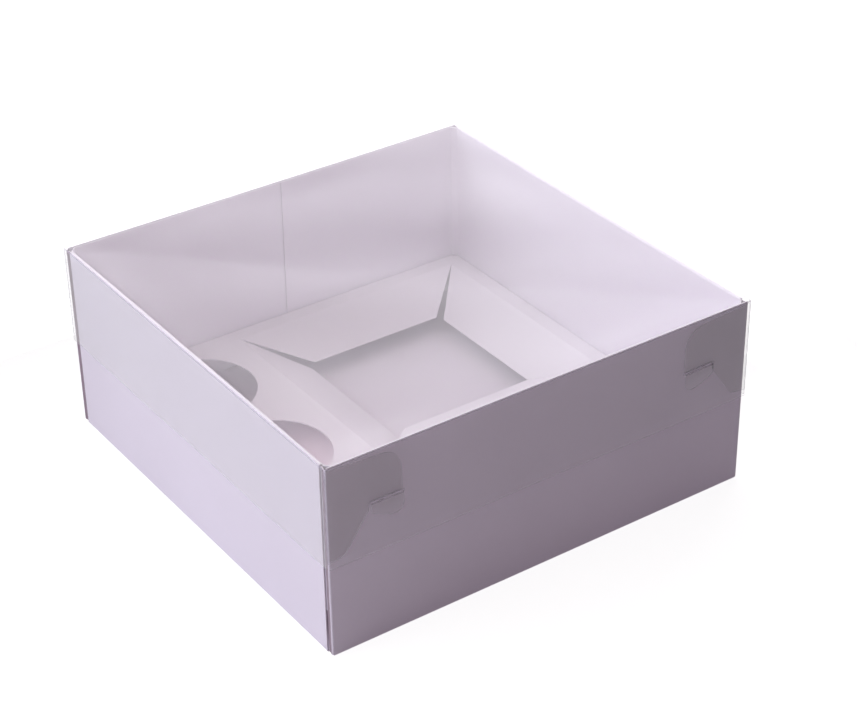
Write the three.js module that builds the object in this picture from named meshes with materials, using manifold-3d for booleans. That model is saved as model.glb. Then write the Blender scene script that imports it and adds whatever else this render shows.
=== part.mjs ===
// A square bakery box for cupcakes and a small cake: a folded card tray, a folded card insert that
// stands in it, and a folded clear film lid. Millimetres, +Z up. The origin is on the table, under the
// middle of the box. The plain walls face -Y and +Y, and the rolled walls face -X and +X.
import * as THREE from 'three';
import { mergeVertices } from 'three/addons/utils/BufferGeometryUtils.js';
import Module from 'manifold-3d';

const wasm = await Module();
wasm.setup();

// Tray
const boxWidth = 240;
const boxDepth = 240;
const boxHeight = 102;
const cardThickness = 0.5;
const layerGap = 0.3;
const foldRadius = 0.35;
const rolledWallShortfall = 4.5;
const innerCornerCut = 2.6;
const dustFlapLength = 55;
const dustFlapEndTaper = 14;
const earRimDrop = 0.4;
const seamOffset = 5;
const seamGap = 0.6;

// Insert
const platformHeight = 22.2;
const insertClearance = 0.35;
const legEndGap = 4;
const platformCornerCut = 3.4;
const windowMargin = 9.2;
const windowFlapDepth = 29.5;
const windowSlit = 0.5;
const backFlapTilt = 23;
const rightFlapTilt = 26;
const leftFlapTilt = 27;
const frontFlapTilt = 17;
const cupDiameter = 60;
const cupWallGap = 14.5;
const cupWindowGap = 12.6;
const cupEndGap = 10.1;
const cupSpacing = 12.3;

// Lid
const filmThickness = 0.3;
const lidTopGap = 0.3;
const lidSideGap = 0.6;
const filmGap = 0.3;
const filmFoldRadius = 0.35;
const skirtDepth = 53.5;
const slitDepth = 26.6;
const slitStart = 22;
const slitLength = 19;
const slitClearance = 0.25;
const tabTopDrop = 1.6;
const tabBottomRise = 3;
const tabHeelReach = 9.5;
const tabHeelRise = 1.6;
const tabShoulderRadius = 14;
const tongueSideClearance = 0.9;
const tongueShortSide = 4.4;
const tongueLongSide = 9.2;
const tongueCornerRadius = 2.2;

const bendSteps = 4;
const cupSides = 64;

const halfWidth = boxWidth / 2;
const halfDepth = boxDepth / 2;
const layerPitch = cardThickness + layerGap;
const cardFold = foldRadius + cardThickness / 2;
const filmFold = filmFoldRadius + filmThickness / 2;

const cardMaterial = new THREE.MeshStandardMaterial({ color: '#ddd6e2', roughness: 0.62, metalness: 0 });
const insertMaterial = new THREE.MeshStandardMaterial({ color: '#e0dbe2', roughness: 0.66, metalness: 0 });
const filmMaterial = new THREE.MeshStandardMaterial({
  color: '#f2f2f6', roughness: 0.06, metalness: 0, transparent: true, opacity: 0.25,
});

// The section of a bent sheet. Its middle line runs through the points [a, b, radius], and each point
// between the ends is rounded by its radius.
function stripShape(points, thickness) {
  const middle = points.map(([a, b]) => new THREE.Vector2(a, b));
  const leftNormal = (direction) => new THREE.Vector2(-direction.y, direction.x);
  const heading = (i) => middle[i + 1].clone().sub(middle[i]).normalize();
  const samples = [[middle[0], leftNormal(heading(0))]];
  for (let i = 1; i < middle.length - 1; i += 1) {
    const before = heading(i - 1);
    const after = heading(i);
    const turn = Math.atan2(before.cross(after), before.dot(after));
    const side = Math.sign(turn);
    const radius = points[i][2];
    const start = middle[i].clone().addScaledVector(before, -radius * Math.tan(Math.abs(turn) / 2));
    const centre = start.clone().addScaledVector(leftNormal(before), side * radius);
    for (let k = 0; k <= bendSteps; k += 1) {
      const normal = leftNormal(before).rotateAround(new THREE.Vector2(), (turn * k) / bendSteps);
      samples.push([centre.clone().addScaledVector(normal, -side * radius), normal]);
    }
  }
  samples.push([middle.at(-1), leftNormal(heading(middle.length - 2))]);
  const distinct = samples.filter(([p], i) => i === 0 || p.distanceTo(samples[i - 1][0]) > 1e-6);
  const edge = (sign) => distinct.map(([p, n]) => p.clone().addScaledVector(n, (sign * thickness) / 2));
  return new THREE.Shape([...edge(1), ...edge(-1).reverse()]);
}

function toSolid(geometry) {
  geometry.deleteAttribute('normal');
  geometry.deleteAttribute('uv');
  const merged = mergeVertices(geometry, 1e-5);
  return new wasm.Manifold(new wasm.Mesh({
    numProp: 3,
    vertProperties: merged.attributes.position.array,
    triVerts: Uint32Array.from(merged.index.array),
  }));
}

function extrude(shape, depth, curveSegments = 8) {
  return new THREE.ExtrudeGeometry(shape, { depth, bevelEnabled: false, curveSegments });
}

// A section in Y and Z, drawn out along X from one end to the other.
function alongX(shape, from, to) {
  const turn = new THREE.Matrix4().makeBasis(
    new THREE.Vector3(0, 1, 0), new THREE.Vector3(0, 0, 1), new THREE.Vector3(1, 0, 0),
  );
  return toSolid(extrude(shape, to - from).applyMatrix4(turn).translate(from, 0, 0));
}

// A section in X and Z, drawn out along Y from one end to the other.
function alongY(shape, from, to) {
  const turn = new THREE.Matrix4().makeBasis(
    new THREE.Vector3(1, 0, 0), new THREE.Vector3(0, 0, 1), new THREE.Vector3(0, -1, 0),
  );
  return toSolid(extrude(shape, to - from).applyMatrix4(turn).translate(0, to, 0));
}

// A plan outline in X and Y, raised along Z from one level to another.
function alongZ(shape, from, to, curveSegments) {
  return toSolid(extrude(shape, to - from, curveSegments).translate(0, 0, from));
}

function unite(solids) {
  return solids.reduce((whole, solid) => whole.add(solid));
}

function toMesh(name, solid, material) {
  const { vertProperties, triVerts } = solid.getMesh();
  const geometry = new THREE.BufferGeometry();
  geometry.setAttribute('position', new THREE.BufferAttribute(vertProperties, 3));
  geometry.setIndex(new THREE.BufferAttribute(triVerts, 1));
  const mesh = new THREE.Mesh(geometry, material);
  mesh.name = name;
  return mesh;
}

// Middle planes of the tray's card layers, counted from the outside in.
const outerX = halfWidth - cardThickness / 2;
const dustFlapX = outerX - layerPitch;
const innerX = outerX - 2 * layerPitch;
const outerY = halfDepth - cardThickness / 2;
const earY = outerY - layerPitch;
const rolledWallEnd = halfDepth - rolledWallShortfall;
const plainWallEnd = dustFlapX;
const floorTop = cardThickness;
const liningBottom = floorTop + layerGap;

// One rolled wall with half of the floor: up the outer layer, over the rim and down the inner layer.
function rolledWall(side) {
  const rimFold = layerPitch;
  const rim = boxHeight - cardThickness / 2;
  return alongY(stripShape([
    [0, cardThickness / 2],
    [side * outerX, cardThickness / 2, cardFold],
    [side * outerX, rim, rimFold],
    [side * innerX, rim, rimFold],
    [side * innerX, liningBottom],
  ], cardThickness), -rolledWallEnd, rolledWallEnd);
}

// One plain wall with half of the floor: a single layer with a raw upper edge.
function plainWall(end) {
  return alongX(stripShape([
    [0, cardThickness / 2],
    [end * outerY, cardThickness / 2, cardFold],
    [end * outerY, boxHeight],
  ], cardThickness), -plainWallEnd, plainWallEnd);
}

// The end of a plain wall turns the corner, slants in past the end of the rolled wall's outer layer, and
// runs on between its two layers. Its first few millimetres show beside the corner.
function dustFlap(side, end) {
  const overlap = 2;
  const tip = halfDepth - dustFlapLength;
  const top = boxHeight - cardThickness - layerGap;
  const strip = alongZ(stripShape([
    [side * (plainWallEnd - overlap), end * outerY],
    [side * outerX, end * outerY, cardFold],
    [side * dustFlapX, end * (rolledWallEnd + layerPitch), cardFold],
    [side * dustFlapX, end * tip],
  ], cardThickness), liningBottom, top);
  const outline = new THREE.Shape([
    new THREE.Vector2(end * (halfDepth + overlap), liningBottom - overlap),
    new THREE.Vector2(end * rolledWallEnd, liningBottom - overlap),
    new THREE.Vector2(end * tip, liningBottom + dustFlapEndTaper),
    new THREE.Vector2(end * tip, top - dustFlapEndTaper),
    new THREE.Vector2(end * rolledWallEnd, top + overlap),
    new THREE.Vector2(end * (halfDepth + overlap), top + overlap),
  ]);
  return strip.intersect(alongX(outline, -boxWidth, boxWidth));
}

// The inner layer of a rolled wall turns the corner and lines half of the plain wall as an ear.
function ear(side, end) {
  const overlap = 3;
  const cutStart = earY - innerCornerCut;
  const seamEdge = seamOffset + (side * seamGap) / 2;
  return alongZ(stripShape([
    [side * innerX, end * (Math.min(rolledWallEnd, cutStart) - overlap)],
    [side * innerX, end * cutStart, cardFold],
    [side * (innerX - innerCornerCut), end * earY, cardFold],
    [seamEdge, end * earY],
  ], cardThickness), liningBottom, boxHeight - earRimDrop);
}

function makeTray() {
  const pieces = [];
  for (const side of [-1, 1]) {
    pieces.push(rolledWall(side), plainWall(side));
    for (const end of [-1, 1]) pieces.push(dustFlap(side, end), ear(side, end));
  }
  return toMesh('tray', unite(pieces), cardMaterial);
}

// The insert fills the tray's inside, less its clearance.
const insertX = innerX - cardThickness / 2 - insertClearance;
const insertY = earY - cardThickness / 2 - insertClearance;
const platformMiddle = platformHeight - cardThickness / 2;
const cupStrip = cupWallGap + cupDiameter + cupWindowGap;
const window = {
  left: -insertX + cupStrip,
  right: insertX - windowMargin,
  front: -insertY + cupStrip,
  back: insertY - windowMargin,
};

function platform() {
  const span = (reach) => stripShape([
    [-reach, liningBottom],
    [-reach, platformMiddle, cardFold],
    [reach, platformMiddle, cardFold],
    [reach, liningBottom],
  ], cardThickness);
  const fold = cardFold + cardThickness / 2;
  const x = insertX - fold;
  const y = insertY - fold;
  const cut = platformCornerCut - fold;
  const plate = new THREE.Shape([[1, 1], [-1, 1], [-1, -1], [1, -1]].flatMap(([sx, sy]) => {
    const corner = [new THREE.Vector2(sx * x, sy * (y - cut)), new THREE.Vector2(sx * (x - cut), sy * y)];
    return sx * sy > 0 ? corner : corner.reverse();
  }));
  return unite([
    alongY(span(insertX - cardThickness / 2), legEndGap - insertY, insertY - legEndGap),
    alongX(span(insertY - cardThickness / 2), legEndGap - insertX, insertX - legEndGap),
    alongZ(plate, platformHeight - cardThickness, platformHeight),
  ]);
}

// One flap of the cake window, drawn with its hinge on the X axis and its free edge towards +Y, tilted
// down, and then turned and moved to its side of the window. Its ends are mitred at 45 degrees.
function windowFlap(length, tilt, turn, x, y) {
  const rootOverlap = 1.5;
  const angle = THREE.MathUtils.degToRad(tilt);
  const strip = alongX(stripShape([
    [-rootOverlap, 0],
    [0, 0, cardFold],
    [windowFlapDepth * Math.cos(angle), -windowFlapDepth * Math.sin(angle)],
  ], cardThickness), -length / 2, length / 2);
  const reach = windowFlapDepth + rootOverlap;
  const half = length / 2 - windowSlit / 2;
  const mitre = alongZ(new THREE.Shape([
    new THREE.Vector2(-half - reach, -reach),
    new THREE.Vector2(half + reach, -reach),
    new THREE.Vector2(half - reach, reach),
    new THREE.Vector2(-half + reach, reach),
  ]), -cardThickness * 3, cardThickness * 3).rotate([-tilt, 0, 0]);
  return strip.intersect(mitre).rotate([0, 0, turn]).translate([x, y, platformMiddle]);
}

function windowFlaps() {
  const width = window.right - window.left;
  const depth = window.back - window.front;
  const middleX = (window.left + window.right) / 2;
  const middleY = (window.front + window.back) / 2;
  return [
    windowFlap(width, frontFlapTilt, 0, middleX, window.front),
    windowFlap(depth, rightFlapTilt, 90, window.right, middleY),
    windowFlap(width, backFlapTilt, 180, middleX, window.back),
    windowFlap(depth, leftFlapTilt, 270, window.left, middleY),
  ];
}

// Cup holes stand in a strip along the left edge and a strip along the front edge, with one where the
// two strips meet.
function cupCentres() {
  const radius = cupDiameter / 2;
  const pitch = cupDiameter + cupSpacing;
  const column = -insertX + cupWallGap + radius;
  const row = -insertY + cupWallGap + radius;
  const stripLength = (size) => 2 * size - cupEndGap - cupDiameter - cupWallGap;
  const centres = [[column, row]];
  for (let i = 0; i < Math.floor(stripLength(insertY) / pitch); i += 1) {
    centres.push([column, insertY - cupEndGap - radius - i * pitch]);
  }
  for (let i = 0; i < Math.floor(stripLength(insertX) / pitch); i += 1) {
    centres.push([insertX - cupEndGap - radius - i * pitch, row]);
  }
  return centres;
}

function makeInsert() {
  const bottom = platformHeight - 2 * cardThickness;
  const top = platformHeight + cardThickness;
  const opening = alongZ(new THREE.Shape([
    new THREE.Vector2(window.left, window.front),
    new THREE.Vector2(window.right, window.front),
    new THREE.Vector2(window.right, window.back),
    new THREE.Vector2(window.left, window.back),
  ]), bottom, top);
  let solid = platform().subtract(opening);
  for (const [x, y] of cupCentres()) {
    const circle = new THREE.Shape().absarc(x, y, cupDiameter / 2, 0, 2 * Math.PI, false);
    solid = solid.subtract(alongZ(circle, bottom, top, cupSides));
  }
  return toMesh('insert', unite([solid, ...windowFlaps()]), insertMaterial);
}

// Middle planes of the lid's film, from the tray outwards: the tab behind the skirt, the skirt, and the
// tongue in front of it.
const filmPitch = filmThickness + filmGap;
const tabY = halfDepth + filmGap + filmThickness / 2;
const skirtY = tabY + filmPitch;
const tongueY = skirtY + filmPitch;
const sideSkirtX = halfWidth + lidSideGap + filmThickness / 2;
const lidTop = boxHeight + lidTopGap + filmThickness;
const skirtBottom = lidTop - skirtDepth;
const slitLevel = lidTop - slitDepth;
const cornerX = sideSkirtX + filmThickness / 2;
const cornerY = tabY + filmThickness / 2;

function lidBody() {
  const span = (reach) => stripShape([
    [-reach, skirtBottom],
    [-reach, lidTop - filmThickness / 2, filmFold],
    [reach, lidTop - filmThickness / 2, filmFold],
    [reach, skirtBottom],
  ], filmThickness);
  const fold = filmFold + filmThickness / 2;
  return unite([
    alongX(span(skirtY), fold - cornerX, cornerX - fold),
    alongY(span(sideSkirtX), fold - cornerY, cornerY - fold),
  ]);
}

// A corner tab in outline: u runs along the wall from the lid's corner, and v down from the lid's top.
// It narrows from the whole corner fold to the slit, where its tongue starts.
function tabOutline(side) {
  const at = (u, v) => [side * (cornerX - u), lidTop - v];
  const tongueStart = slitStart + tongueSideClearance;
  const tongueEnd = slitStart + slitLength - tongueSideClearance;
  const shoulder = tabTopDrop + tabShoulderRadius;
  const outline = new THREE.Shape();
  outline.moveTo(...at(-filmThickness, tabTopDrop));
  outline.lineTo(...at(tongueEnd - tabShoulderRadius, tabTopDrop + tabHeelRise));
  outline.quadraticCurveTo(...at(tongueEnd, tabTopDrop + tabHeelRise), ...at(tongueEnd, shoulder));
  outline.lineTo(...at(tongueEnd, slitDepth));
  outline.lineTo(...at(tongueStart, slitDepth));
  outline.lineTo(...at(tongueStart - tongueSideClearance, slitDepth + tongueShortSide));
  outline.lineTo(...at(tabHeelReach, skirtDepth - tabBottomRise - tabHeelRise));
  outline.lineTo(...at(-filmThickness, skirtDepth - tabBottomRise));
  return outline;
}

// The side skirt's end turns the corner and lies behind the front or back skirt as the tab.
function cornerTab(side, end) {
  const overlap = 3;
  const strip = alongZ(stripShape([
    [side * sideSkirtX, end * (tabY - overlap)],
    [side * sideSkirtX, end * tabY, filmFold],
    [side * (cornerX - slitStart - slitLength - overlap), end * tabY],
  ], filmThickness), skirtBottom, lidTop);
  const near = end * (cornerY - overlap - filmThickness);
  const far = end * (cornerY + filmThickness);
  return strip.intersect(alongY(tabOutline(side), Math.min(near, far), Math.max(near, far)));
}

// The tongue slants out through the slit and lies on the outside of the skirt.
function tongue(side, end) {
  const root = 2;
  const slant = tongueY - tabY;
  const bottom = slitDepth + slant / 2 + tongueLongSide;
  const start = slitStart + tongueSideClearance;
  const finish = slitStart + slitLength - tongueSideClearance;
  const strip = alongX(stripShape([
    [end * tabY, slitLevel + slant / 2 + root],
    [end * tabY, slitLevel + slant / 2, filmFold],
    [end * tongueY, slitLevel - slant / 2, filmFold],
    [end * tongueY, lidTop - bottom],
  ], filmThickness), -cornerX, cornerX);
  const at = (u, v) => [side * (cornerX - u), lidTop - v];
  const shortBottom = slitDepth + slant / 2 + tongueShortSide;
  const outline = new THREE.Shape();
  outline.moveTo(...at(start, slitDepth - slant / 2 - root - filmThickness));
  outline.lineTo(...at(finish, slitDepth - slant / 2 - root - filmThickness));
  outline.lineTo(...at(finish, bottom - 2 * tongueCornerRadius));
  outline.quadraticCurveTo(...at(finish, bottom), ...at(finish - 2 * tongueCornerRadius, bottom));
  outline.quadraticCurveTo(...at((start + finish) / 2, bottom), ...at(start, shortBottom));
  return strip.intersect(alongY(outline, -boxDepth, boxDepth));
}

// A slit is tall enough for the film to pass through it at 45 degrees.
function slit(side, end) {
  const height = filmThickness * (1 + Math.SQRT2) + 2 * slitClearance;
  const middleX = side * (cornerX - slitStart - slitLength / 2);
  const cutter = new THREE.BoxGeometry(slitLength, 2 * filmThickness, height);
  return toSolid(cutter.translate(middleX, end * skirtY, slitLevel));
}

function makeLid() {
  let solid = lidBody();
  for (const side of [-1, 1]) {
    for (const end of [-1, 1]) {
      solid = solid.subtract(slit(side, end)).add(cornerTab(side, end)).add(tongue(side, end));
    }
  }
  return toMesh('lid', solid, filmMaterial);
}

const box = new THREE.Group();
box.add(makeTray(), makeInsert(), makeLid());

export default box;
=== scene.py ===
import math

import bmesh
import bpy
from mathutils import Matrix, Vector
from mathutils.bvhtree import BVHTree


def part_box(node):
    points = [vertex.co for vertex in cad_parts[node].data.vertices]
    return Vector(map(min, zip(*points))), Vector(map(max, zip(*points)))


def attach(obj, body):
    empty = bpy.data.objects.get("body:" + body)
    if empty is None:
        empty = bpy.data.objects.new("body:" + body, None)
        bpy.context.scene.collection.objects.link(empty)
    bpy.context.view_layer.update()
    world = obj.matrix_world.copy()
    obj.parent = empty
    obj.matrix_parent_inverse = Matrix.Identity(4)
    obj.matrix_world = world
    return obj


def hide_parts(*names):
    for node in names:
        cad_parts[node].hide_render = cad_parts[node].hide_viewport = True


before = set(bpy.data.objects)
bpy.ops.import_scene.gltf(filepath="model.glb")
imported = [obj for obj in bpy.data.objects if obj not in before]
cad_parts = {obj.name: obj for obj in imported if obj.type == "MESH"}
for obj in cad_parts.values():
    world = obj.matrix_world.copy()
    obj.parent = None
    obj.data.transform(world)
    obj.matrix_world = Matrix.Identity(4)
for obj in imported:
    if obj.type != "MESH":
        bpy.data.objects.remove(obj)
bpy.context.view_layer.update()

node_box = {node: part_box(node) for node in ("tray", "insert", "lid")}

MM = 0.001

# Camera, as the photograph was taken
IMAGE_WIDTH = 858
SENSOR_WIDTH = 36.0
FOCAL_PIXELS = 2207.4
CLIP_END = 50.0
CAMERA_PLACE = (-0.5185, -0.7811, 0.6340)
CAMERA_AZIMUTH = math.radians(-34.436)
CAMERA_ELEVATION = math.radians(31.882)
CAMERA_ROLL = math.radians(-0.902)

# Key light
KEY_PLACE = (-1.55, 0.75, 1.15)
KEY_TARGET = (0, 0, 0.05)
KEY_SIZE = (1.6, 1.4)
KEY_POWER = 8.5
KEY_COLOUR = (0.85, 1.0, 0.82)

# The light that soaks through the thin card of the insert, beside the cupcake holes
SOAKED_PLACE = (-0.055, 0.016, 0.0185)
SOAKED_TARGET = (-0.055, 0.016, 0.0)
SOAKED_SIZE = (0.05, 0.04)
SOAKED_POWER = 0.0032
SOAKED_COLOUR = (1.0, 0.82, 0.85)

# Soft patches of light in the dome: the direction of the middle, the cosine where it fades out, the colour
SWEEP_BEHIND = ((0.565, 0.825, 0.0), 0.3, (2.54, 2.43, 2.60))
GLOW_OVERHEAD = ((0.0, 0.0, 1.0), 0.2, (0.45, 0.38, 0.39))
FILL_FROM_LEFT = ((-0.84, 0.54, 0.0), 0.3, (1.36, 1.35, 1.68))

# Floor and backdrop
WHITE = (1.0, 1.0, 1.0)
BLACK = (0.0, 0.0, 0.0)
FLOOR_REACH = 4.0
FLOOR_ROUGHNESS = 0.9
FLOOR_COLOUR = (0.4, 0.4, 0.4)
FLOOR_GLOW = 0.87
BOUNCE_LEVEL = -0.5 * MM
BOUNCE_COLOUR = (0.74, 0.70, 0.74)
BOUNCE_GLOW = 0.13
BOUNCE_GLOW_COLOUR = (0.92, 0.78, 1.0)
MIRRORED_LEVEL = -0.3 * MM
MIRRORED_EDGE = -0.11
MIRRORED_FRONT_GLOW = 0.36
MIRRORED_SIDE_GLOW = 0.68
BACKDROP_RADIUS = 0.9 * FLOOR_REACH
BACKDROP_SUBDIVISIONS = 4
BACKDROP_GLOW = 1.02

# Boards around the box
DARK_BOARD_X = 0.26
DARK_BOARD_NEAR = -0.75
DARK_BOARD_TOP = 0.45
DARK_BOARD_TONE = 0.02
RIGHT_BOARDS_MEET = -0.05
LOW_BOARD_OUT = 0.20
LOW_BOARD_TOP = 0.095
LOW_BOARD_TONE = 0.5

# Sheets
CARD_THICKNESS = 0.5 * MM
FILM_THICKNESS = 0.3 * MM
CARD_GRID = 8 * MM
FILM_GRID = 5 * MM
MERGE_DISTANCE = 1e-6
CUT_SNAP = 1e-7

# Material slots of a sheet
FACE_SLOT = 0
CUT_SLOT = 1
FOLD_SLOT = 2
# Slot 3 holds a painted shade: a dark card colour on the strips beside the corners, standing in for the
# shade of the gap
PAINTED_SHADE_SLOT = 3

# What counts as a fold or a cut edge
FOLD_ANGLE = math.radians(30)
FOLD_WIDTH = 0.45 * MM
SQUARE_TOLERANCE = math.radians(4)
PROBE_START = 0.02
PROBE_REACH = 3

# The strip of each dust flap that shows beside a corner, measured back from the face of the front wall; it
# gets a painted shade, a dark card colour standing in for the shade of the gap
STRIP_START = 0.9 * MM
STRIP_END = 4.6 * MM
STRIP_DEPTH = 1.6 * MM
STRIP_FACING = 0.6

# Card: the noise scale and detail, and how far the tone runs down and up
CARD_ROUGHNESS = 0.5
CARD_SPECULAR = 0.35
CARD_FIBRE = (520.0, 6.0, 0.996, 1.003)
CARD_CLOUDS = (22.0, 2.0, 0.985, 1.01)
CARD_BUMP = (0.02, 0.05 * MM)
CUT_ROUGHNESS = 0.85
CUT_FIBRE = (4200.0, 4.0, 0.9, 1.04)
CUT_BUMP = (0.5, 0.08 * MM)
NOISE_LOW = 0.3
NOISE_HIGH = 0.7

# Film
FILM_COLOUR = (0.97, 0.97, 0.98)
FILM_ROUGHNESS = 0.05
FILM_HEAD_ON = 0.012
FILM_GLANCE_POWER = 4.0
MILKY_SCALE = 900.0
MILKY_DETAIL = 3.0
MILKY_SPREAD = 0.3

# Shape of the used card
WALL_BOW = 0.5 * MM
WALL_BOW_START = 24 * MM
WALL_BOW_RISE = 60 * MM
WALL_LAYERS = 3 * MM

# Shape of the used film: the sag and the waves of its top, and the waves of its skirts between the tabs
FILM_LAYERS = 2.4 * MM
FILM_SAG = 2.0 * MM
FILM_WAVE = 0.35 * MM
FOLD_STIFFNESS_REACH = 22 * MM
LONG_WAVE = 19 * MM
LONG_WAVE_SHARE = 0.6
LONG_WAVE_WANDER = 1.7
LONG_WAVE_WANDER_LENGTH = 37 * MM
SHORT_WAVE = 15 * MM
SHORT_WAVE_SHARE = 0.4
SHORT_WAVE_SLANT = 31 * MM
SKIRT_WAVE = 0.45 * MM
SKIRT_WAVE_LENGTH = 17 * MM
SKIRT_WAVE_SLANT = 29 * MM
SKIRT_STIFF_DEPTH = 30 * MM
SIDE_SKIRT_LOOSE_REACH = 95 * MM
FRONT_SKIRT_LOOSE_REACH = 70 * MM
SKIRT_LOOSE_FADE = 25 * MM


def link_object(name, data):
    made = bpy.data.objects.new(name, data)
    bpy.context.scene.collection.objects.link(made)
    return made


def new_material(name):
    material = bpy.data.materials.new(name)
    material.use_nodes = True
    return material, material.node_tree, material.node_tree.nodes["Principled BSDF"]


def make_camera():
    data = bpy.data.cameras.new("camera")
    data.sensor_fit = "HORIZONTAL"
    data.sensor_width = SENSOR_WIDTH
    data.lens = FOCAL_PIXELS / IMAGE_WIDTH * SENSOR_WIDTH
    data.clip_end = CLIP_END
    camera = link_object("camera", data)
    level = math.cos(CAMERA_ELEVATION)
    forward = Vector((
        -math.sin(CAMERA_AZIMUTH) * level,
        math.cos(CAMERA_AZIMUTH) * level,
        -math.sin(CAMERA_ELEVATION),
    ))
    right = Vector((math.cos(CAMERA_AZIMUTH), math.sin(CAMERA_AZIMUTH), 0.0))
    up = right.cross(forward)
    turn = Matrix.Rotation(-CAMERA_ROLL, 3, forward)
    right, up = turn @ right, turn @ up
    axes = Matrix((right, up, -forward)).transposed().to_4x4()
    camera.matrix_world = Matrix.Translation(CAMERA_PLACE) @ axes
    bpy.context.scene.camera = camera


def area_light(name, place, target, size, power, colour):
    data = bpy.data.lights.new(name, "AREA")
    data.shape = "RECTANGLE"
    data.size, data.size_y = size
    data.energy = power
    data.color = colour
    light = link_object(name, data)
    light.location = place
    light.rotation_euler = (Vector(target) - Vector(place)).to_track_quat("-Z", "Y").to_euler()


def make_lights():
    area_light("key", KEY_PLACE, KEY_TARGET, KEY_SIZE, KEY_POWER, KEY_COLOUR)
    area_light("soaked", SOAKED_PLACE, SOAKED_TARGET, SOAKED_SIZE, SOAKED_POWER, SOAKED_COLOUR)


def dome_patch(tree, direction, axis, start, colour):
    """A soft patch of light in the dome, centred on an axis and fading out at start, its cosine."""
    cosine = tree.nodes.new("ShaderNodeVectorMath")
    cosine.operation = "DOT_PRODUCT"
    cosine.inputs[1].default_value = axis
    tree.links.new(direction, cosine.inputs[0])
    fade = tree.nodes.new("ShaderNodeMapRange")
    fade.interpolation_type = "SMOOTHSTEP"
    fade.inputs["From Min"].default_value = start
    tree.links.new(cosine.outputs["Value"], fade.inputs["Value"])
    patch = tree.nodes.new("ShaderNodeVectorMath")
    patch.operation = "SCALE"
    patch.inputs[0].default_value = colour
    tree.links.new(fade.outputs["Result"], patch.inputs["Scale"])
    return patch.outputs["Vector"]


def make_world():
    # A white studio sweep behind the box, a soft glow overhead and a fill from the left. The front is dark.
    world = bpy.data.worlds.new("studio")
    world.use_nodes = True
    tree = world.node_tree
    direction = tree.nodes.new("ShaderNodeTexCoord").outputs["Generated"]
    total = dome_patch(tree, direction, *SWEEP_BEHIND)
    for patch in (GLOW_OVERHEAD, FILL_FROM_LEFT):
        both = tree.nodes.new("ShaderNodeVectorMath")
        tree.links.new(total, both.inputs[0])
        tree.links.new(dome_patch(tree, direction, *patch), both.inputs[1])
        total = both.outputs["Vector"]
    tree.links.new(total, tree.nodes["Background"].inputs["Color"])
    bpy.context.scene.world = world


def hide_from_light(staged):
    """What is left unseen by light casts no shadow and reflects none onto the box."""
    staged.visible_diffuse = False
    staged.visible_transmission = False
    staged.visible_shadow = False


def glowing_material(name, colour, glow, glow_colour):
    material, _, shader = new_material(name)
    shader.inputs["Base Color"].default_value = (*colour, 1.0)
    shader.inputs["Roughness"].default_value = FLOOR_ROUGHNESS
    shader.inputs["Specular IOR Level"].default_value = 0.0
    shader.inputs["Emission Color"].default_value = (*glow_colour, 1.0)
    shader.inputs["Emission Strength"].default_value = glow
    return material


def floor_sheet(name, level, colour, glow, glow_colour=WHITE, near=-FLOOR_REACH, far=FLOOR_REACH):
    mesh = bpy.data.meshes.new(name)
    corners = [(-FLOOR_REACH, near), (FLOOR_REACH, near), (FLOOR_REACH, far), (-FLOOR_REACH, far)]
    mesh.from_pydata([(*corner, level) for corner in corners], [], [(0, 1, 2, 3)])
    sheet = link_object(name, mesh)
    mesh.materials.append(glowing_material(name, colour, glow, glow_colour))
    return sheet


def make_floor():
    # The camera sees a floor lit to near white, and the box takes its bounced light from a darker one just
    # below it.
    seen = floor_sheet("floor", 0.0, FLOOR_COLOUR, FLOOR_GLOW)
    hide_from_light(seen)
    seen.visible_glossy = False
    bounce = floor_sheet("floor_bounce", BOUNCE_LEVEL, BOUNCE_COLOUR, BOUNCE_GLOW, BOUNCE_GLOW_COLOUR)
    bounce.visible_camera = False
    bounce.visible_glossy = False
    # The film mirrors the floor, which is dim in front of the box and bright beside it.
    for name, glow, near, far in (
        ("floor_mirrored_front", MIRRORED_FRONT_GLOW, -FLOOR_REACH, MIRRORED_EDGE),
        ("floor_mirrored_side", MIRRORED_SIDE_GLOW, MIRRORED_EDGE, FLOOR_REACH),
    ):
        mirrored = floor_sheet(name, MIRRORED_LEVEL, BLACK, glow, near=near, far=far)
        hide_from_light(mirrored)
        mirrored.visible_camera = False


def make_backdrop():
    # A plain white shell that only the camera sees, so the clear film shows against it.
    shell = bmesh.new()
    bmesh.ops.create_icosphere(shell, subdivisions=BACKDROP_SUBDIVISIONS, radius=BACKDROP_RADIUS)
    mesh = bpy.data.meshes.new("backdrop")
    shell.to_mesh(mesh)
    shell.free()
    backdrop = link_object("backdrop", mesh)
    mesh.materials.append(glowing_material("backdrop", BLACK, BACKDROP_GLOW, WHITE))
    hide_from_light(backdrop)
    backdrop.visible_glossy = False


def board(name, start, end, top, tone):
    """An upright board that the camera doesn't see, from one place on the floor to another."""
    mesh = bpy.data.meshes.new(name)
    mesh.from_pydata([(*start, 0.0), (*end, 0.0), (*end, top), (*start, top)], [], [(0, 1, 2, 3)])
    upright = link_object(name, mesh)
    material, _, shader = new_material(name)
    shader.inputs["Base Color"].default_value = (tone, tone, tone, 1.0)
    mesh.materials.append(material)
    upright.visible_camera = False
    upright.visible_glossy = False


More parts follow.
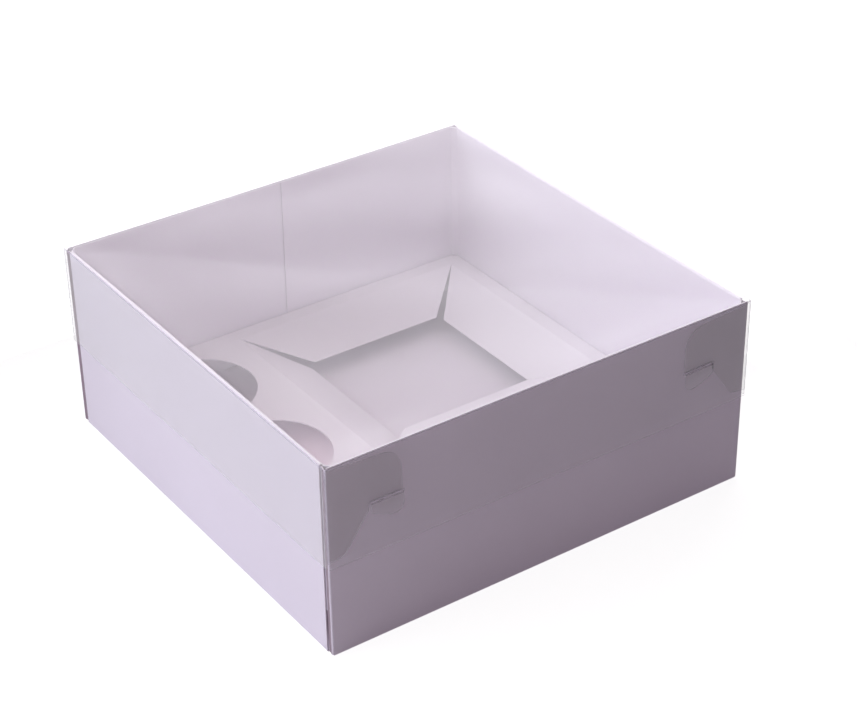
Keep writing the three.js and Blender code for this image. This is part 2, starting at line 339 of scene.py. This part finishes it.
def make_boards():
    # A tall black board keeps the light of the sweep off the front wall, and low ones hold it back from the
    # outer faces of the back and right walls.
    board(
        "board_right_front",
        (DARK_BOARD_X, DARK_BOARD_NEAR), (DARK_BOARD_X, RIGHT_BOARDS_MEET), DARK_BOARD_TOP, DARK_BOARD_TONE,
    )
    board(
        "board_right",
        (LOW_BOARD_OUT, RIGHT_BOARDS_MEET), (LOW_BOARD_OUT, LOW_BOARD_OUT), LOW_BOARD_TOP, LOW_BOARD_TONE,
    )
    board(
        "board_back",
        (-LOW_BOARD_OUT, LOW_BOARD_OUT), (LOW_BOARD_OUT, LOW_BOARD_OUT), LOW_BOARD_TOP, LOW_BOARD_TONE,
    )


def noise_factor(tree, scale, detail, low, high):
    coords = tree.nodes.new("ShaderNodeTexCoord")
    grain = tree.nodes.new("ShaderNodeTexNoise")
    grain.inputs["Scale"].default_value = scale
    grain.inputs["Detail"].default_value = detail
    tree.links.new(coords.outputs["Object"], grain.inputs["Vector"])
    spread = tree.nodes.new("ShaderNodeMapRange")
    spread.inputs["From Min"].default_value = NOISE_LOW
    spread.inputs["From Max"].default_value = NOISE_HIGH
    spread.inputs["To Min"].default_value = low
    spread.inputs["To Max"].default_value = high
    tree.links.new(grain.outputs["Fac"], spread.inputs["Value"])
    return grain.outputs["Fac"], spread.outputs["Result"]


def multiply(tree, first, second):
    product = tree.nodes.new("ShaderNodeMath")
    product.operation = "MULTIPLY"
    tree.links.new(first, product.inputs[0])
    tree.links.new(second, product.inputs[1])
    return product.outputs["Value"]


def tint_and_bump(tree, shader, colour, tone, height, bump_size):
    """The colour scaled by a tone, and a relief of the given strength and depth."""
    tint = tree.nodes.new("ShaderNodeVectorMath")
    tint.operation = "SCALE"
    tint.inputs[0].default_value = colour
    tree.links.new(tone, tint.inputs["Scale"])
    tree.links.new(tint.outputs["Vector"], shader.inputs["Base Color"])
    bump = tree.nodes.new("ShaderNodeBump")
    bump.inputs["Strength"].default_value, bump.inputs["Distance"].default_value = bump_size
    tree.links.new(height, bump.inputs["Height"])
    tree.links.new(bump.outputs["Normal"], shader.inputs["Normal"])


def card_material(name, colour):
    """Smooth folding carton: faint fibre grain and slow tone changes."""
    material, tree, shader = new_material(name)
    shader.inputs["Roughness"].default_value = CARD_ROUGHNESS
    shader.inputs["Specular IOR Level"].default_value = CARD_SPECULAR
    fibre, fibre_tone = noise_factor(tree, *CARD_FIBRE)
    _, cloud_tone = noise_factor(tree, *CARD_CLOUDS)
    tint_and_bump(tree, shader, colour, multiply(tree, fibre_tone, cloud_tone), fibre, CARD_BUMP)
    return material


def cut_card_material(name, colour):
    """The raw cut edge of the carton: an open fibre core, rougher than its coated faces."""
    material, tree, shader = new_material(name)
    shader.inputs["Roughness"].default_value = CUT_ROUGHNESS
    fibre, tone = noise_factor(tree, *CUT_FIBRE)
    tint_and_bump(tree, shader, colour, tone, fibre, CUT_BUMP)
    return material


def film_material(name):
    """Clear film: what shows is its reflection, which grows at a glancing angle."""
    material, tree, shader = new_material(name)
    shader.inputs["Base Color"].default_value = (*FILM_COLOUR, 1.0)
    shader.inputs["Metallic"].default_value = 1.0
    shader.inputs["Roughness"].default_value = FILM_ROUGHNESS
    glance = tree.nodes.new("ShaderNodeLayerWeight")
    glance.inputs["Blend"].default_value = 0.5
    rise = tree.nodes.new("ShaderNodeMath")
    rise.operation = "POWER"
    rise.inputs[1].default_value = FILM_GLANCE_POWER
    tree.links.new(glance.outputs["Facing"], rise.inputs[0])
    cover = tree.nodes.new("ShaderNodeMapRange")
    cover.inputs["To Min"].default_value = FILM_HEAD_ON
    cover.inputs["To Max"].default_value = 1.0
    tree.links.new(rise.outputs["Value"], cover.inputs["Value"])
    tree.links.new(cover.outputs["Result"], shader.inputs["Alpha"])
    return material


def milky_film_material(name, colour, alpha, roughness):
    """Film that has gone milky, where it is folded or cut."""
    material, tree, shader = new_material(name)
    shader.inputs["Base Color"].default_value = (*colour, 1.0)
    shader.inputs["Roughness"].default_value = roughness
    thin, thick = alpha * (1 - MILKY_SPREAD), alpha * (1 + MILKY_SPREAD)
    _, speckle = noise_factor(tree, MILKY_SCALE, MILKY_DETAIL, thin, thick)
    tree.links.new(speckle, shader.inputs["Alpha"])
    return material


def cut_across(work, place, normal):
    geometry = work.verts[:] + work.edges[:] + work.faces[:]
    bmesh.ops.bisect_plane(work, geom=geometry, dist=CUT_SNAP, plane_co=place, plane_no=normal)


def grid_cuts(work, low, high, spacing):
    """Cuts the mesh by planes square to each axis, at a regular spacing inside its box."""
    for axis in range(3):
        count = math.floor((high[axis] - low[axis]) / spacing)
        step = (high[axis] - low[axis]) / (count + 1)
        normal = [0.0, 0.0, 0.0]
        normal[axis] = 1.0
        for i in range(1, count + 1):
            place = [0.0, 0.0, 0.0]
            place[axis] = low[axis] + i * step
            cut_across(work, place, normal)


def smooth_with_sharp_edges(work):
    for face in work.faces:
        face.smooth = True
    for edge in work.edges:
        if len(edge.link_faces) == 2:
            edge.smooth = edge.calc_face_angle(0.0) < FOLD_ANGLE


def mark_cut_edges(work, thickness):
    """Faces across the sheet are cut edges: behind them the sheet runs on further than it is thick."""
    tree = BVHTree.FromBMesh(work)
    start = thickness * PROBE_START
    for face in work.faces:
        inward = -face.normal
        hit = tree.ray_cast(face.calc_center_median() + inward * start, inward, thickness * PROBE_REACH)
        face.material_index = CUT_SLOT if hit[0] is None else FACE_SLOT


def mark_folds(work):
    """The rounded folds are the narrow faces that aren't square to any axis."""
    square = math.cos(SQUARE_TOLERANCE)
    for face in work.faces:
        tilted = max(abs(part) for part in face.normal) < square
        if tilted and face.material_index == FACE_SLOT:
            longest = max(edge.calc_length() for edge in face.edges)
            if face.calc_area() / longest < FOLD_WIDTH:
                face.material_index = FOLD_SLOT


def mark_corner_strips(work):
    """Beside each corner the dust flap runs back from its fold. The sideways faces of its strip there get a
    painted shade, dark like the shade of the gap.
    """
    low, high = node_box["tray"]
    for end in (low[1] + STRIP_START, high[1] - STRIP_START):
        cut_across(work, (0, end, 0), (0, 1, 0))
    work.normal_update()
    for face in work.faces:
        middle = face.calc_center_median()
        from_end = high[1] - abs(middle.y)
        from_side = high[0] - abs(middle.x)
        if from_side < STRIP_DEPTH and from_end < STRIP_START:
            face.material_index = FACE_SLOT
        # The sideways faces of the strip get the painted shade of the gap
        elif abs(face.normal.x) > STRIP_FACING and from_side < STRIP_DEPTH and from_end < STRIP_END:
            face.material_index = PAINTED_SHADE_SLOT


def sheet_piece(name, node, body, thickness, grid, materials, bend):
    """A node's own mesh, cut finely enough to bend, with its folds and cut edges marked."""
    low, high = node_box[node]
    work = bmesh.new()
    work.from_mesh(bpy.data.objects[node].data)
    bmesh.ops.remove_doubles(work, verts=work.verts[:], dist=MERGE_DISTANCE)
    grid_cuts(work, low, high, grid)
    work.normal_update()
    mark_cut_edges(work, thickness)
    mark_folds(work)
    if node == "tray":
        mark_corner_strips(work)
    smooth_with_sharp_edges(work)
    for vert in work.verts:
        vert.co = bend(vert.co)
    mesh = bpy.data.meshes.new(name)
    work.to_mesh(mesh)
    work.free()
    piece = link_object(name, mesh)
    for material in materials:
        mesh.materials.append(material)
    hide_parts(node)
    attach(piece, body)


def ease(value):
    """0 below 0, 1 above 1, and a smooth step between."""
    value = min(max(value, 0.0), 1.0)
    return value * value * (3 - 2 * value)


def bow(along, half_length, level):
    """How far a wall leans in at a place along it: nothing at its ends and its foot, most in mid rim."""
    rise = ease((level - WALL_BOW_START) / WALL_BOW_RISE)
    return WALL_BOW * max(1 - (along / half_length) ** 2, 0.0) * rise


def bend_card(point):
    _, high = node_box["tray"]
    half_width, half_depth = high[0], high[1]
    point = point.copy()
    if abs(point.x) > half_width - WALL_LAYERS:
        point.x -= math.copysign(bow(point.y, half_depth, point.z), point.x)
    if abs(point.y) > half_depth - WALL_LAYERS:
        point.y -= math.copysign(bow(point.x, half_width, point.z), point.y)
    return point


def top_wave(point):
    wander = LONG_WAVE_WANDER * math.sin(point.y / LONG_WAVE_WANDER_LENGTH)
    wave = LONG_WAVE_SHARE * math.sin(point.x / LONG_WAVE + wander)
    return wave + SHORT_WAVE_SHARE * math.sin(point.y / SHORT_WAVE + point.x / SHORT_WAVE_SLANT)


def bend_film(point):
    _, high = node_box["lid"]
    half_width, half_depth = high[0], high[1]
    inset = min(half_width - abs(point.x), half_depth - abs(point.y))
    point = point.copy()
    if inset > 2 * FILM_LAYERS and point.z > high[2] - 2 * FILM_THICKNESS:
        loose = ease(inset / FOLD_STIFFNESS_REACH)
        middle = ease(inset / half_width)
        point.z -= FILM_SAG * middle + FILM_WAVE * loose * (1 + top_wave(point))
        return point
    depth = ease((high[2] - point.z) / SKIRT_STIFF_DEPTH)
    for axis, across, half, reach in (
        (0, point.y, half_width, SIDE_SKIRT_LOOSE_REACH),
        (1, point.x, half_depth, FRONT_SKIRT_LOOSE_REACH),
    ):
        if half - abs(point[axis]) < FILM_LAYERS and abs(across) < reach:
            loose = ease((reach - abs(across)) / SKIRT_LOOSE_FADE)
            wave = math.sin(across / SKIRT_WAVE_LENGTH + point.z / SKIRT_WAVE_SLANT + half)
            point[axis] -= math.copysign(SKIRT_WAVE * depth * loose * (1 + wave) / 2, point[axis])
    return point


make_camera()
make_world()
make_floor()
make_boards()
make_backdrop()
make_lights()
sheet_piece(
    "tray_card", "tray", "base", CARD_THICKNESS, CARD_GRID,
    (
        card_material("card", (0.83, 0.78, 0.85)),
        cut_card_material("card_cut", (0.95, 0.92, 0.96)),
        # Partly the whitening of the card at its folds, partly a painted highlight: the rims and corner
        # folds are made lighter where light from above and behind strikes them
        card_material("card_fold_whitening_and_painted_highlight", (0.95, 0.91, 0.97)),
        # A painted shade, not a colour of the card: the dark strips beside the corners, standing in for the
        # shade of the gap
        card_material("card_painted_gap_shade", (0.33, 0.255, 0.30)),
    ),
    bend_card,
)
sheet_piece(
    "insert_sheet", "insert", "base", CARD_THICKNESS, CARD_GRID,
    (
        card_material("insert_card", (0.88, 0.84, 0.89)),
        cut_card_material("insert_cut", (0.90, 0.87, 0.91)),
        card_material("insert_fold", (0.91, 0.88, 0.92)),
    ),
    bend_card,
)
sheet_piece(
    "lid_film", "lid", "lid", FILM_THICKNESS, FILM_GRID,
    (
        film_material("clear_film"),
        milky_film_material("film_cut", (0.68, 0.66, 0.72), 0.42, 0.3),
        milky_film_material("film_fold", (0.60, 0.57, 0.64), 0.30, 0.2),
    ),
    bend_film,
)
bpy.context.scene.view_settings.view_transform = "Standard"
